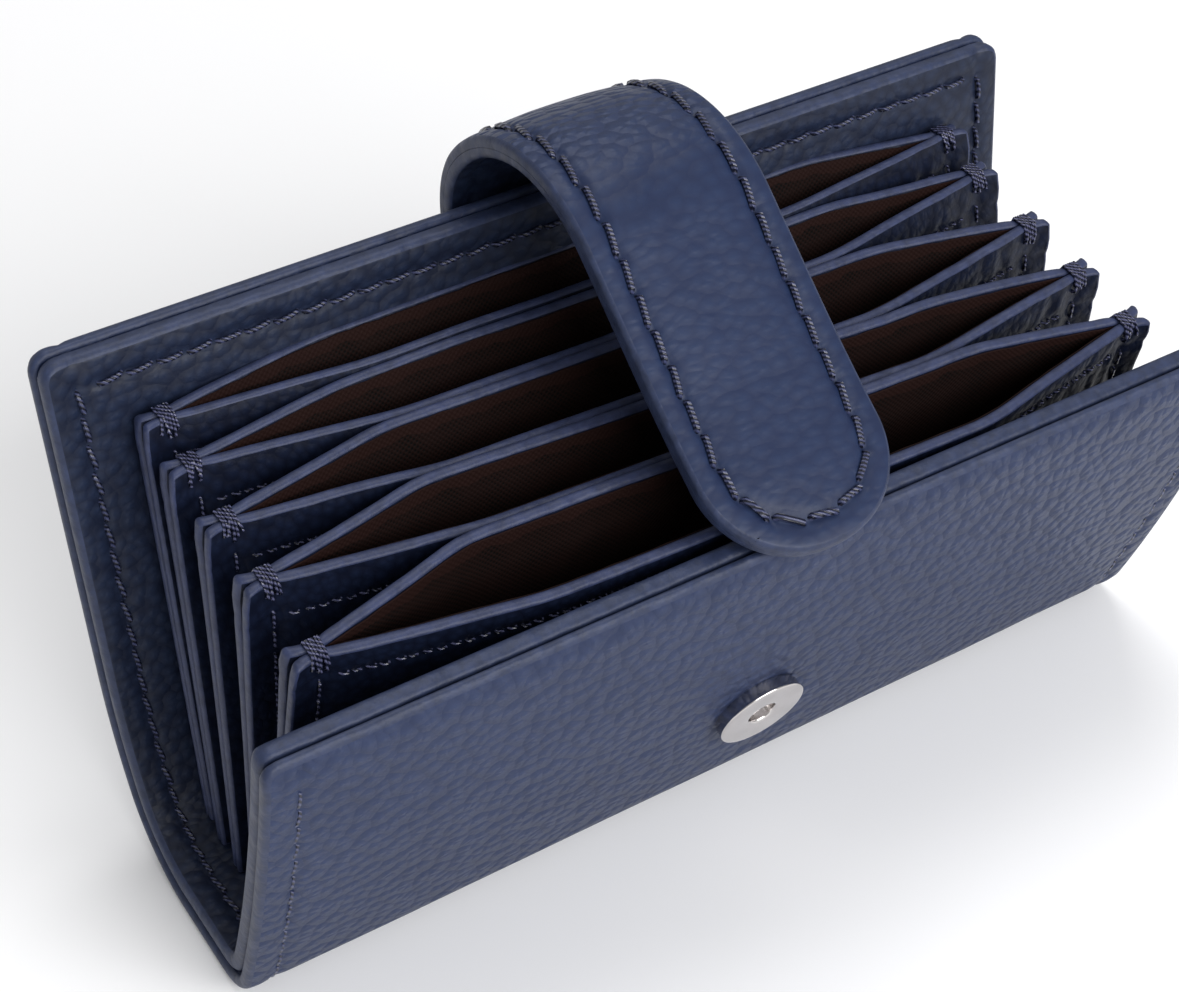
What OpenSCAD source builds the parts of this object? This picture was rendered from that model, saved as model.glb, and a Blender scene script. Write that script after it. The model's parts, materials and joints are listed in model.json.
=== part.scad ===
// Accordion card holder: a leather cover folded round five card sleeves, standing open on its fold.
// X runs along the fold, -Y is the front panel's side, +Z is up, and the origin is the middle of
// the flat strip under the fold, which the holder stands on.

/* [Cover] */
// Length of the cover along the fold
cover_len = 112; // [104:0.5:120]
// Height of the front panel above its fold, along the leather
front_len = 42; // [36:0.5:43]
// Height of the back panel's straight part, along the leather
back_len = 37; // [30:0.5:42]
// Width of the flat strip that it stands on
rest_w = 9; // [6:0.5:14]
// Outer radius of the tight fold under the front panel
fold_r = 6.5; // [6:0.25:9]
// Outer radius where the bottom turns up at the back
heel_r = 13; // [11:0.5:16]
// Outward lean of the front panel at its top edge
front_lean = 12; // [6:1:16]
// How much further the front panel leans at its foot than at its top
front_bow = 10; // [4:1:12]

/* [Leather] */
// Thickness of the outer leather
cover_t = 1.6; // [1.2:0.1:1.8]
// Thickness of the stiffening boards
board_t = 0.7; // [0.4:0.1:0.8]
// Thickness of the lining leather
lining_t = 1.6; // [1.0:0.1:1.6]
// Thickness of one sleeve wall
wall_t = 0.8; // [0.6:0.05:0.9]
// Thickness of the woven pocket lining
cloth_t = 0.2; // [0.15:0.05:0.3]

/* [Sleeves] */
// Width of a sleeve from end to end
sleeve_w = 97.4; // [94:0.2:100]
// Distance from a sleeve's end to its seam
seam_inset = 3.5; // [2.5:0.5:5]
// Depth of the rearmost sleeve
sleeve_h = 46; // [40:0.5:48]
// How much shorter each sleeve is than the one behind it
sleeve_step = 1.2; // [0:0.1:1.5]
// Spacing of the sleeves at their top edges
sleeve_pitch = 7.15; // [6.8:0.05:7.2]
// Where the rearmost sleeve's top stands behind the middle
first_top = 16; // [14:0.25:16.5]

/* [Strap] */
// Width of the strap
strap_w = 20.4; // [18:0.2:24]
// Thickness of each of the strap's two layers
strap_t = 1.3; // [1:0.1:1.4]
// Length of the strap from its arch to its rounded end
tongue_len = 33.5; // [28:0.5:35]

/* [Snap] */
// Outer diameter of the snap's socket and stud
snap_d = 9.8; // [9:0.1:11]
// Diameter of the hole in the socket
socket_hole_d = 3.1; // [2.8:0.1:3.6]
// How far the socket stands out of the leather
socket_h = 1.6; // [1.2:0.1:2.2]
// Distance of the socket below the front panel's top edge
socket_drop = 28; // [22:0.5:32]

/* [Hidden] */
$fn = 48;
SLEEVES = 5;
BACK = 1;
FRONT = -1;

// Layers are measured inward from the outer face of the cover.
layer_gap = 0.05;
board_from = cover_t + layer_gap;
lining_from = cover_t + board_t + 2 * layer_gap;
cover_stack = lining_from + lining_t;

// The cover's outline, walked outward from both ends of the flat strip. A leg is
// [length, turn, steps] and a station is [y, z, heading]; heading 0 runs towards +Y and 90 is up.
fold_turn = 90 - front_lean - front_bow;
heel_turn = 65;
shin_r = 45;
back_lean = 6.8;
shin_turn = 90 - back_lean - heel_turn;
bend_steps = 12;
front_steps = 8;
shin_steps = 6;
function arc_len(r, turn) = PI * r * abs(turn) / 180;
function step_once(s, len, turn) = [
    s[0] + len * cos(s[2] + turn / 2),
    s[1] + len * sin(s[2] + turn / 2),
    s[2] + turn
];
function walk_arc(s, len, turn, n) =
    n == 0 ? [] : let (t = step_once(s, len / n, turn / n))
        concat([t], walk_arc(t, len * (n - 1) / n, turn * (n - 1) / n, n - 1));
function walk(s, legs, i = 0) =
    i == len(legs) ? [] :
    let (leg = walk_arc(s, legs[i][0], legs[i][1], legs[i][2]))
        concat(leg, walk(leg[len(leg) - 1], legs, i + 1));
function last(list) = list[len(list) - 1];

fold_start = [-rest_w / 2, 0, 180];
heel_start = [rest_w / 2, 0, 0];
fold_path = concat([fold_start], walk(fold_start, [[arc_len(fold_r, fold_turn), -fold_turn, bend_steps]]));
front_path = concat([last(fold_path)], walk(last(fold_path), [[front_len, -front_bow, front_steps]]));
back_path = concat([heel_start], walk(heel_start, [
    [arc_len(heel_r, heel_turn), heel_turn, bend_steps],
    [arc_len(shin_r, shin_turn), shin_turn, shin_steps],
    [back_len, 0, 1]
]));

// A station moved inward from the outer face: side is +1 on the back's half and -1 on the front's.
function inward(s, d, side) = [s[0] - side * d * sin(s[2]), s[1] + side * d * cos(s[2])];
function layer_side(path, d, side) = [for (s = path) inward(s, d, side)];
function reversed(list) = [for (i = [len(list) - 1:-1:0]) list[i]];

// Extrudes an outline drawn in Y and Z along X, centred on the middle.
module along_x(length) {
    rotate([90, 0, 90])
        translate([0, 0, -length / 2])
            linear_extrude(length)
                children();
}

module root_layer(from, to, length) {
    outer = concat(reversed(layer_side(fold_path, from, FRONT)), layer_side(back_path, from, BACK));
    inner = concat(reversed(layer_side(fold_path, to, FRONT)), layer_side(back_path, to, BACK));
    along_x(length)
        polygon(concat(outer, reversed(inner)));
}

module front_layer(from, to, length, path = front_path) {
    along_x(length)
        polygon(concat(layer_side(path, from, FRONT), reversed(layer_side(path, to, FRONT))));
}

// Stitches: short threads lying on a face.
stitch_pitch = 3.8;
stitch_len = 2.7;
stitch_d = 0.45;
stitch_inset = 3;
stitch_gap = 0.04;

// One thread centred on a station, lying along the path, lift above the face.
module thread_at(s, x, lift, side) {
    p = inward(s, lift, side);
    translate([x, p[0], p[1]])
        rotate([s[2], 0, 0])
            cube([stitch_d, stitch_len, stitch_d], center = true);
}

// A station part of the way between two others.
function between(a, b, t) = a + (b - a) * t;

navy = [0.20, 0.24, 0.36];
navy_dark = [0.15, 0.18, 0.29];
thread_navy = [0.12, 0.14, 0.25];
brown = [0.16, 0.09, 0.07];
board_grey = [0.55, 0.52, 0.48];
nickel = [0.80, 0.79, 0.77];
steel = [0.55, 0.56, 0.58];

module back_cover() {
    color(navy)
        root_layer(0, cover_t, cover_len);
}

module back_lining() {
    color(navy_dark)
        root_layer(lining_from, cover_stack, cover_len);
}

// The straight part of the back panel, from its lower to its upper end.
back_foot = back_path[len(back_path) - 2];
back_top = last(back_path);
board_margin = 5;
board_start = 0.02;

module back_board() {
    low = between(back_foot, back_top, board_start);
    high = between(back_foot, back_top, 1 - board_margin / back_len);
    color(board_grey)
        along_x(cover_len - 2 * board_margin)
            polygon(concat(
                [for (s = [low, high]) inward(s, board_from, BACK)],
                [for (s = [high, low]) inward(s, board_from + board_t, BACK)]
            ));
}

// Threads round the inner face of the back panel: both sides and along the top.
module back_stitching() {
    rise = cover_stack + stitch_d / 2 + stitch_gap;
    column_n = floor((back_len - stitch_inset) / stitch_pitch);
    row_n = floor((cover_len - 2 * stitch_inset - stitch_pitch) / stitch_pitch);
    top_row = between(back_foot, back_top, 1 - stitch_inset / back_len);
    top_point = inward(top_row, rise, BACK);
    color(thread_navy) {
        for (x = [-1, 1] * (cover_len / 2 - stitch_inset), i = [1:column_n])
            thread_at(between(top_row, back_foot, i * stitch_pitch / back_len), x, rise, BACK);
        for (i = [0:row_n - 1])
            translate([(i - (row_n - 1) / 2) * stitch_pitch, top_point[0], top_point[1]])
                rotate([back_top[2], 0, 0])
                    cube([stitch_len, stitch_d, stitch_d], center = true);
    }
}

module front_cover() {
    color(navy)
        front_layer(0, cover_t, cover_len);
}

module front_lining() {
    color(navy_dark)
        front_layer(lining_from, cover_stack, cover_len);
}

module front_board() {
    inner_path = [for (i = [1:len(front_path) - 2]) front_path[i]];
    color(board_grey)
        front_layer(board_from, board_from + board_t, cover_len - 2 * board_margin, inner_path);
}

// A thread on a curved face lies over a bend, so it is lifted clear of it.
bow_lift = stitch_d / 2 + stitch_gap + 0.05;

module front_stitching() {
    color(thread_navy)
        for (x = [-1, 1] * (cover_len / 2 - stitch_inset), i = [1:len(front_path) - 1])
            thread_at(between(front_path[i - 1], front_path[i], 0.5), x, -bow_lift, FRONT);
}

// The snap's socket, on the front panel's outer face. Its axis is +Z here.
socket_share = 1 - socket_drop / front_len;
socket_leg = floor(socket_share * (len(front_path) - 1));
socket_station = between(front_path[socket_leg], front_path[socket_leg + 1], 0.5);
magnet_d = 7.4;
magnet_t = 0.9;
magnet_clear = 0.1;
magnet_bore = socket_hole_d + 0.6;
washer_d = magnet_d - 1;
washer_bore = socket_hole_d + 1;
rim_t = 0.5;
seat_gap = 0.12;
cut_over = 1;

module on_front(lift) {
    p = inward(socket_station, -lift, FRONT);
    translate([0, p[0], p[1]])
        rotate([socket_station[2], 0, 0])
            children();
}

module ring(d_out, d_in, h) {
    difference() {
        cylinder(d = d_out, h = h);
        translate([0, 0, -cut_over])
            cylinder(d = d_in, h = h + 2 * cut_over);
    }
}

// A pressed cup, open towards the leather, with a hole through its face.
module socket_rim() {
    color(nickel)
        on_front(seat_gap)
            difference() {
                cylinder(d = snap_d, h = socket_h);
                translate([0, 0, -cut_over])
                    cylinder(d = socket_hole_d, h = socket_h + 2 * cut_over);
                translate([0, 0, -cut_over])
                    cylinder(d = magnet_d + magnet_clear, h = cut_over + socket_h - rim_t);
            }
}

module socket_magnet() {
    color(steel)
        on_front(seat_gap + layer_gap)
            ring(magnet_d, magnet_bore, magnet_t);
}

// The thin washer that the socket is clinched on, between the magnet and the leather.
module socket_rivet() {
    color(steel)
        on_front(seat_gap / 2)
            ring(washer_d, washer_bore, seat_gap / 2);
}

// A closed sheet between two grids of points of the same size, given as lists of rows.
module sheet(face_a, face_b) {
    rows = len(face_a);
    cols = len(face_a[0]);
    count = rows * cols;
    points = concat([for (row = face_a) each row], [for (row = face_b) each row]);
    function at(r, c, b = 0) = b * count + r * cols + c;
    sides = [for (r = [0:rows - 2], c = [0:cols - 2]) each [
        [at(r, c), at(r, c + 1), at(r + 1, c + 1), at(r + 1, c)],
        [at(r, c, 1), at(r + 1, c, 1), at(r + 1, c + 1, 1), at(r, c + 1, 1)]
    ]];
    ends = [for (r = [0:rows - 2]) each [
        [at(r, 0), at(r + 1, 0), at(r + 1, 0, 1), at(r, 0, 1)],
        [at(r, cols - 1), at(r, cols - 1, 1), at(r + 1, cols - 1, 1), at(r + 1, cols - 1)]
    ]];
    brims = [for (c = [0:cols - 2]) each [
        [at(0, c), at(0, c, 1), at(0, c + 1, 1), at(0, c + 1)],
        [at(rows - 1, c), at(rows - 1, c + 1), at(rows - 1, c + 1, 1), at(rows - 1, c, 1)]
    ]];
    polyhedron(points, concat(sides, ends, brims));
}

// Where each sleeve stands: its foot on the lining and its lean, from the rear to the front.
foot_gap = 0.2;
foot_y = [9.3, 6.9, 3.3, -0.9, -4.9];
function lining_height(y) =
    y > rest_w / 2 ? heel_r - sqrt(pow(heel_r - cover_stack, 2) - pow(y - rest_w / 2, 2)) :
    y < -rest_w / 2 ? fold_r - sqrt(pow(fold_r - cover_stack, 2) - pow(y + rest_w / 2, 2)) :
    cover_stack;
function depth(i) = sleeve_h - i * sleeve_step;
function lean(i) = asin((first_top - i * sleeve_pitch - foot_y[i]) / depth(i));

// The foot stands clear of the lining under both of its walls.
seam_touch = 0.02;
foot_half = seam_touch + wall_t;
function foot_z(i) = foot_gap + max([for (side = [FRONT, BACK])
    lining_height(foot_y[i] + side * foot_half * cos(lean(i))) + side * foot_half * sin(lean(i))
]);

// Each wall bows away from its sleeve's middle plane, from the seams in to a flat middle, and
// evenly wider from the foot up.
seam_x = sleeve_w / 2 - seam_inset;
bow_run = 30;
wall_clear = 0.15;
top_bow = sleeve_pitch / 2 - wall_t - wall_clear;
front_reach = 2;
function bow_at(i, side) = top_bow + (side == FRONT && i == SLEEVES - 1 ? front_reach : 0);
function bow_share(x) = abs(x) >= seam_x ? 0 : sin(90 * min(1, (seam_x - abs(x)) / bow_run));
function half_open(x, z, i, side) = bow_at(i, side) * bow_share(x) * z / depth(i);

run_steps = 6;
half_xs = [for (k = [0:run_steps]) seam_x - k * bow_run / run_steps];
wall_xs = concat([-sleeve_w / 2], [for (x = half_xs) -x], reversed(half_xs), [sleeve_w / 2]);
wall_levels = [0, 0.1, 0.25, 0.5, 0.75, 1];

module stand_sleeve(i) {
    translate([0, foot_y[i], foot_z(i)])
        rotate([-lean(i), 0, 0])
            children();
}

function wall_face(i, side, off) = [for (level = wall_levels)
    let (z = level * depth(i))
        [for (x = wall_xs) [x, side * (half_open(x, z, i, side) + off), z]]
];

module sleeve_wall(i, side) {
    inner = wall_face(i, side, seam_touch);
    outer = wall_face(i, side, seam_touch + wall_t);
    color(navy_dark)
        stand_sleeve(i)
            if (side == BACK) sheet(inner, outer);
            else sheet(outer, inner);
}

// The woven lining runs down one wall's inner face, round the foot and up the other.
cloth_top = 3;
cloth_gap = 0.05;
cloth_foot = 4;
cloth_room = 1.3 * (cloth_gap + cloth_t);
cloth_xs = [for (x = wall_xs) if (abs(x) < seam_x) x];
cloth_levels = [0, 0.15, 0.35, 0.55, 0.8, 1];

module sleeve_lining(i) {
    top_z = depth(i) - cloth_top;
    zs = [for (level = cloth_levels) cloth_foot + level * (top_z - cloth_foot)];
    function cloth_point(x, z, open, side, off) =
        [x, side * (open - off * min(1, open / cloth_room)), z + (z == cloth_foot ? off : 0)];
    function cloth_row(side, z, off) =
        [for (x = cloth_xs) cloth_point(x, z, half_open(x, z, i, side), side, off)];
    function cloth_face(off) = concat(
        [for (z = reversed(zs)) cloth_row(BACK, z, off)],
        [for (z = zs) cloth_row(FRONT, z, off)]
    );
    color(brown)
        stand_sleeve(i)
            sheet(cloth_face(cloth_gap), cloth_face(cloth_gap + cloth_t));
}

// Three thread wraps over the top edge at each seam.
tack_count = 3;
tack_pitch = 0.7;
tack_drop = 2.2;
tack_room = 1;

module sleeve_bar_tacks(i) {
    reach = foot_half + stitch_gap;
    color(thread_navy)
        stand_sleeve(i)
            for (end = [-1, 1], k = [0:tack_count - 1])
                translate([end * (seam_x + (k + 1) * tack_pitch), 0, depth(i)])
                    difference() {
                        translate([0, 0, -tack_drop / 2 + stitch_d])
                            cube([stitch_d, 2 * (reach + stitch_d), tack_drop + stitch_d], center = true);
                        translate([0, 0, -tack_drop / 2 - tack_room + stitch_gap])
                            cube([tack_room, 2 * reach, tack_drop + 2 * tack_room], center = true);
                    }
}

// The strap's underside, walked from its sewn foot on the back panel to its rounded end.
anchor_len = 14;
anchor_rise = 0.27;
anchor_foot = between(back_foot, back_top, anchor_rise);
strap_gap = 0.1;
strap_start = concat(inward(anchor_foot, -strap_gap, BACK), [back_top[2]]);
anchor_path = concat([strap_start], walk(strap_start, [[anchor_len, 0, 2]]));

// The bends over the sleeves, as [radius, turn, steps]: out from the back, then over and down.
strap_bends = [[12.9, -25, 4], [9.8, 72, 9], [17, 35, 5], [14.6, 55, 7]];
tongue_curl = 9;
tongue_steps = 6;
strap_path = concat([last(anchor_path)], walk(last(anchor_path), concat(
    [for (bend = strap_bends) [arc_len(bend[0], bend[1]), bend[1], bend[2]]],
    [[tongue_len / 3, 0, 1], [tongue_len * 2 / 3, -tongue_curl, tongue_steps]]
)));
strap_stack = 2 * strap_t + layer_gap;

module strap_layer(path, from, to, length) {
    along_x(length)
        polygon(concat(layer_side(path, -from, BACK), reversed(layer_side(path, -to, BACK))));
}

// The rounded end: a thick disc-ended blank lying along the tongue, which the layers are cut to.
tip = last(strap_path);
corner_r = strap_w / 2 - 1;
blank_t = 40;
blank_len = 120;
arch_room = [strap_w, 60, 90];

module tongue_blank() {
    translate([0, tip[0], tip[1]])
        rotate([tip[2], 0, 0])
            translate([0, 0, -blank_t / 2])
                linear_extrude(blank_t) {
                    translate([-strap_w / 2, -blank_len])
                        square([strap_w, blank_len - corner_r]);
                    for (x = [-1, 1])
                        translate([x * (strap_w / 2 - corner_r), -corner_r])
                            circle(r = corner_r);
                    translate([-(strap_w / 2 - corner_r), -corner_r])
                        square([strap_w - 2 * corner_r, corner_r]);
                }
}

module free_strap_layer(from, to) {
    intersection() {
        strap_layer(strap_path, from, to, strap_w);
        union() {
            tongue_blank();
            translate([-strap_w / 2, 0, 0])
                cube(arch_room);
        }
    }
}

module strap_anchor() {
    color(navy)
        strap_layer(anchor_path, 0, strap_stack, strap_w);
}

module strap_top_leather() {
    color(navy)
        free_strap_layer(strap_t + layer_gap, strap_stack);
}

module strap_lining_leather() {
    color(navy_dark)
        free_strap_layer(0, strap_t);
}

// A thread over a bend is lifted clear of its corner.
bend_lift = stitch_d / 2 + 0.15;

module strap_stitching() {
    color(thread_navy)
        for (x = [-1, 1] * (strap_w / 2 - stitch_inset), i = [3:2:len(strap_path) - 3])
            thread_at(strap_path[i], x, -(strap_stack + bend_lift), BACK);
}

// The stud hangs under the tongue, over the socket's place when the strap is fastened.
stud_plate_t = 0.7;
stud_post_h = 1.2;
stud_post_d = 2.8;
post_gap = 0.01;
stud_station = strap_path[len(strap_path) - 1 - tongue_steps / 2];

module under_tongue(drop) {
    p = inward(stud_station, drop, BACK);
    translate([0, p[0], p[1]])
        rotate([stud_station[2], 0, 0])
            children();
}

module stud_plate() {
    color(nickel)
        under_tongue(seat_gap)
            cylinder(d = snap_d, h = stud_plate_t);
}

module stud_post() {
    color(nickel)
        under_tongue(seat_gap + stud_plate_t + post_gap)
            cylinder(d = stud_post_d, h = stud_post_h);
}

module stud_washer() {
    color(steel)
        under_tongue(seat_gap / 2)
            ring(washer_d, stud_post_d, seat_gap / 3);
}

back_cover();
back_lining();
back_board();
back_stitching();
strap_anchor();
front_cover();
front_lining();
front_board();
front_stitching();
socket_rim();
socket_magnet();
socket_rivet();
for (i = [1:SLEEVES]) {
    sleeve_wall(i - 1, BACK);
    sleeve_wall(i - 1, FRONT);
    sleeve_lining(i - 1);
    sleeve_bar_tacks(i - 1);
}
strap_top_leather();
strap_lining_leather();
strap_stitching();
stud_plate();
stud_post();
stud_washer();
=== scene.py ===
# Navy leather card holder: cover, lining, card sleeves, strap and snap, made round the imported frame.
# Lengths are metres. Leather is cut flat, shaped in its flat coordinates (across, along, depth) and
# then bent round the holder's side outline.
import json
import math
import random
import bpy
import numpy as np
from mathutils import Matrix, Vector


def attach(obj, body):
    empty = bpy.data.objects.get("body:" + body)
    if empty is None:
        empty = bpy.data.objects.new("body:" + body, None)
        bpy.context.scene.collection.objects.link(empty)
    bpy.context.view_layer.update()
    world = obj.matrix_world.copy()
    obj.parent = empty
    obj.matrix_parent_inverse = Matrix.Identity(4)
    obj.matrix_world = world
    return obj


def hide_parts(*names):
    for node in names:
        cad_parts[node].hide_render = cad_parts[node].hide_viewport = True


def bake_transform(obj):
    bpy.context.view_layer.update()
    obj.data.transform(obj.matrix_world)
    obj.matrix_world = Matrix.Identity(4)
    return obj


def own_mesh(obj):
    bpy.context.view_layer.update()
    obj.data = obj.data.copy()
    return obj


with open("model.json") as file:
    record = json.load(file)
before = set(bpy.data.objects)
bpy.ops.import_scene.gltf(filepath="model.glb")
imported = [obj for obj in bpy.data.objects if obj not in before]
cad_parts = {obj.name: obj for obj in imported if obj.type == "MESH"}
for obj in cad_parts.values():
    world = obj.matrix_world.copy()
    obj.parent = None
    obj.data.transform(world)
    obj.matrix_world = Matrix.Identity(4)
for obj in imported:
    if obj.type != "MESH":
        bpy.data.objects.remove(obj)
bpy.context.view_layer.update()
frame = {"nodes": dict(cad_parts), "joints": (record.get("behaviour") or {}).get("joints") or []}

MM = 0.001

# The cover's measures, as in the frame.
COVER_LEN = 112 * MM
FRONT_LEN = 42 * MM
BACK_LEN = 37 * MM
REST_W = 9 * MM
FOLD_R = 6.5 * MM
FOLD_TURN = 68
HEEL_R = 13 * MM
HEEL_TURN = 65
SHIN_R = 45 * MM
SHIN_TURN = 18.2
FRONT_BOW = 10
FRONT_TOP_HEADING = -78
COVER_T = 1.6 * MM
LINING_FROM = 2.4 * MM
LINING_T = 1.6 * MM

# The sleeves' measures.
SLEEVE_COUNT = 5
SLEEVE_HALF = 48.7 * MM
SEAM_X = 45.2 * MM
SLEEVE_DEPTH = 46 * MM
SLEEVE_STEP = 1.2 * MM
SLEEVE_PITCH = 7.15 * MM
FIRST_TOP = 16 * MM
WALL_T = 0.8 * MM
TOUCH = 0.02 * MM
leans = {joint["child"]: joint["pos_m"] for joint in frame["joints"]}
FEET = [leans[f"sleeve_{i + 1}"][1:] for i in range(SLEEVE_COUNT)]
# Where the sleeves' walls meet at their tops, from behind the first to in front of the last, and
# where each sleeve's end seams stand on the left and on the right.
MEETING_LEFT = [20.7, 15.1, 8.85, 1.3, -6.65, -17.0]
MEETING_MIDDLE = [20.7, 14.75, 8.0, 0.0, -7.75, -17.6]
MEETING_RIGHT = [20.6, 14.6, 7.7, -1.15, -8.55, -18.3]
LEFT_SEAM = [17.3, 12.2, 4.9, -2.8, -12.0]
RIGHT_SEAM = [17.6, 12.1, 3.3, -4.9, -12.9]
BACK_RISE = [1.2, 1.1, 0.9, 0.7, 0.65]
FRONT_DROP = [1.1, 0.9, 0.7, 0.65, 0.0]
BOW_RUN = 16.5 * MM
BACK = 1
FRONT = -1

# The strap's measures.
STRAP_W = 20.4 * MM
STRAP_LAYER = 1.3 * MM
STRAP_GAP = 0.05 * MM
STRAP_FOOT_SHARE = 0.27
STRAP_LIFT = 0.1 * MM
STRAP_SEWN = 14 * MM
STRAP_BENDS = [(12.9 * MM, -25), (9.8 * MM, 72), (17 * MM, 35), (14.6 * MM, 55)]
TONGUE_LEN = 33.5 * MM
TONGUE_CURL = -9

STITCH_PITCH = 3 * MM
STITCH_INSET = 3.3 * MM
THREAD_D = 0.5 * MM
STRAP_THREAD_D = 0.66 * MM
SLEEVE_THREAD_D = 0.28 * MM

# How the cover's leather sinks along its seams and at their needle holes, and how far its cut edge
# is rounded.
SEAM_SINK = 0.16 * MM
SEAM_SPREAD = 0.75 * MM
HOLE_SINK = 0.30 * MM
HOLE_SPREAD = 0.4 * MM
RIM_ROUND = 0.55 * MM

# The spacing of the cover's points, and their closer spacing within reach of a seam.
GRID = 0.75 * MM
FINE_GRID = 0.375 * MM
FINE_REACH = 1.5 * MM


# ---- finishes

def new_material(name):
    """A material with only a shader in it, given back with its nodes, links and shader."""
    material = bpy.data.materials.new(name)
    material.use_nodes = True
    nodes = material.node_tree.nodes
    nodes.clear()
    out = nodes.new("ShaderNodeOutputMaterial")
    shader = nodes.new("ShaderNodeBsdfPrincipled")
    material.node_tree.links.new(shader.outputs[0], out.inputs[0])
    return material, nodes, material.node_tree.links, shader


def add_node(nodes, kind, **settings):
    """A node with its settings, each a property of the node or else one of its inputs."""
    node = nodes.new(kind)
    for key, value in settings.items():
        if hasattr(node, key):
            setattr(node, key, value)
        else:
            node.inputs[key.replace("_", " ")].default_value = value
    return node


def math_node(nodes, links, operation, first, second=None, third=None):
    """The result of a sum on numbers or on the outputs of other nodes."""
    node = nodes.new("ShaderNodeMath")
    node.operation = operation
    for socket, value in zip(node.inputs, (first, second, third)):
        if value is None:
            continue
        if isinstance(value, (int, float)):
            socket.default_value = value
        else:
            links.new(value, socket)
    return node.outputs[0]


def ramp_node(nodes, links, factor, low, high, colours):
    """Two colours, the first up to low and the second from high."""
    node = nodes.new("ShaderNodeValToRGB")
    links.new(factor, node.inputs[0])
    for stop, place, colour in zip(node.color_ramp.elements, (low, high), colours):
        stop.position = place
        stop.color = (*colour, 1)
    return node.outputs[0]


def bump_node(nodes, links, height, distance, strength=1.0, normal=None):
    """Raise the surface by distance where height is 1, over any normal given."""
    node = nodes.new("ShaderNodeBump")
    node.inputs["Strength"].default_value = strength
    node.inputs["Distance"].default_value = distance
    links.new(height, node.inputs["Height"])
    if normal is not None:
        links.new(normal, node.inputs["Normal"])
    return node.outputs[0]


def soft_cells(nodes, links, place, scale, smoothness):
    """Rounded cells, highest at their middles; scale is how many there are to one step of place."""
    cells = add_node(nodes, "ShaderNodeTexVoronoi", voronoi_dimensions="2D", feature="SMOOTH_F1")
    cells.inputs["Scale"].default_value = scale
    cells.inputs["Smoothness"].default_value = smoothness
    links.new(place, cells.inputs["Vector"])
    return math_node(nodes, links, "SUBTRACT", 1.0, cells.outputs["Distance"])


def along_mask(nodes, links, uv, start, full, end, gone):
    """1 between full and end along the leather, fading to 0 at start and gone."""
    parts = nodes.new("ShaderNodeSeparateXYZ")
    links.new(uv, parts.inputs[0])
    sides = []
    for low, high in ((start, full), (gone, end)):
        ease = nodes.new("ShaderNodeMapRange")
        ease.interpolation_type = "SMOOTHSTEP"
        ease.inputs["From Min"].default_value = low
        ease.inputs["From Max"].default_value = high
        links.new(parts.outputs[1], ease.inputs["Value"])
        sides.append(ease.outputs[0])
    return math_node(nodes, links, "MULTIPLY", *sides)


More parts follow.
